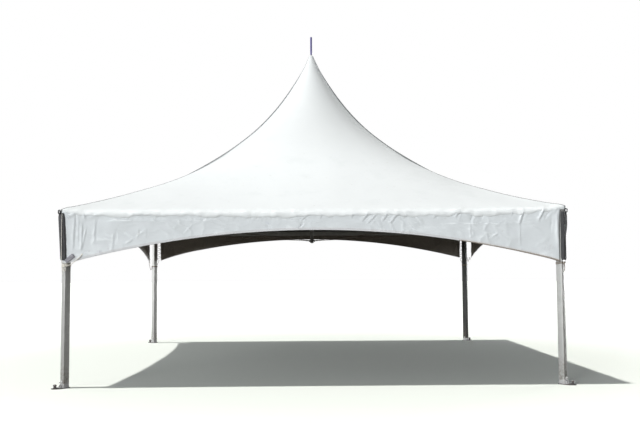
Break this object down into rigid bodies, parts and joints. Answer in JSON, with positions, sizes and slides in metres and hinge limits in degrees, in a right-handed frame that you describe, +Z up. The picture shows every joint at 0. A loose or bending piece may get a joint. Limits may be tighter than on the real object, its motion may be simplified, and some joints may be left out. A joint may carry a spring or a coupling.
{
  "type": "marquee tent",
  "caption": "Square open-sided frame marquee with a swept high-peak canopy, arched valances, corner legs on base plates, centre mast and stay cables.",
  "frame": {"origin": "on the ground, at the centre of the tent's footprint, under the peak", "axes": "+Z up; -Y is the front side of the picture; +X is to the right seen from the front"},
  "size_m": [6.2482, 6.2482, 5.054],
  "materials": {
    "vinyl_white": "smooth coated vinyl, slight sheen",
    "webbing_dark": "woven webbing",
    "aluminium": "mill finish, satin",
    "galvanised_steel": "galvanised, dull",
    "wire_rope": "weathered wire rope",
    "tie_rope": "twisted cotton rope",
    "spire_paint": "violet-blue satin paint"
  },
  "bodies": {
    "root": {"anchor_pin_fl": "galvanised_steel", "anchor_pin_fr": "galvanised_steel", "anchor_pin_rl": "galvanised_steel", "anchor_pin_rr": "galvanised_steel", "base_plate_fl": "galvanised_steel", "base_plate_fr": "galvanised_steel", "base_plate_rl": "galvanised_steel", "base_plate_rr": "galvanised_steel", "canopy_panel_front": "vinyl_white", "canopy_panel_right": "vinyl_white", "canopy_panel_rear": "vinyl_white", "canopy_panel_left": "vinyl_white", "corner_block_fl": "aluminium", "corner_block_fr": "aluminium", "corner_block_rl": "aluminium", "corner_block_rr": "aluminium", "corner_strap_fl": "webbing_dark", "corner_strap_fr": "webbing_dark", "corner_strap_rl": "webbing_dark", "corner_strap_rr": "webbing_dark", "corner_tie_fl": "tie_rope", "corner_tie_fr": "tie_rope", "corner_tie_rl": "tie_rope", "corner_tie_rr": "tie_rope", "eave_beam_front": "aluminium", "eave_beam_right": "aluminium", "eave_beam_rear": "aluminium", "eave_beam_left": "aluminium", "leg_fl": "aluminium", "leg_fr": "aluminium", "leg_rl": "aluminium", "leg_rr": "aluminium", "stay_cable_fl": "wire_rope", "stay_cable_fr": "wire_rope", "stay_cable_rl": "wire_rope", "stay_cable_rr": "wire_rope", "valance_front": "vinyl_white", "valance_right": "vinyl_white", "valance_rear": "vinyl_white", "valance_left": "vinyl_white", "mast": "aluminium", "mast_crown": "aluminium", "mast_hub": "galvanised_steel", "spire": "spire_paint"}
  },
  "joints": []
}
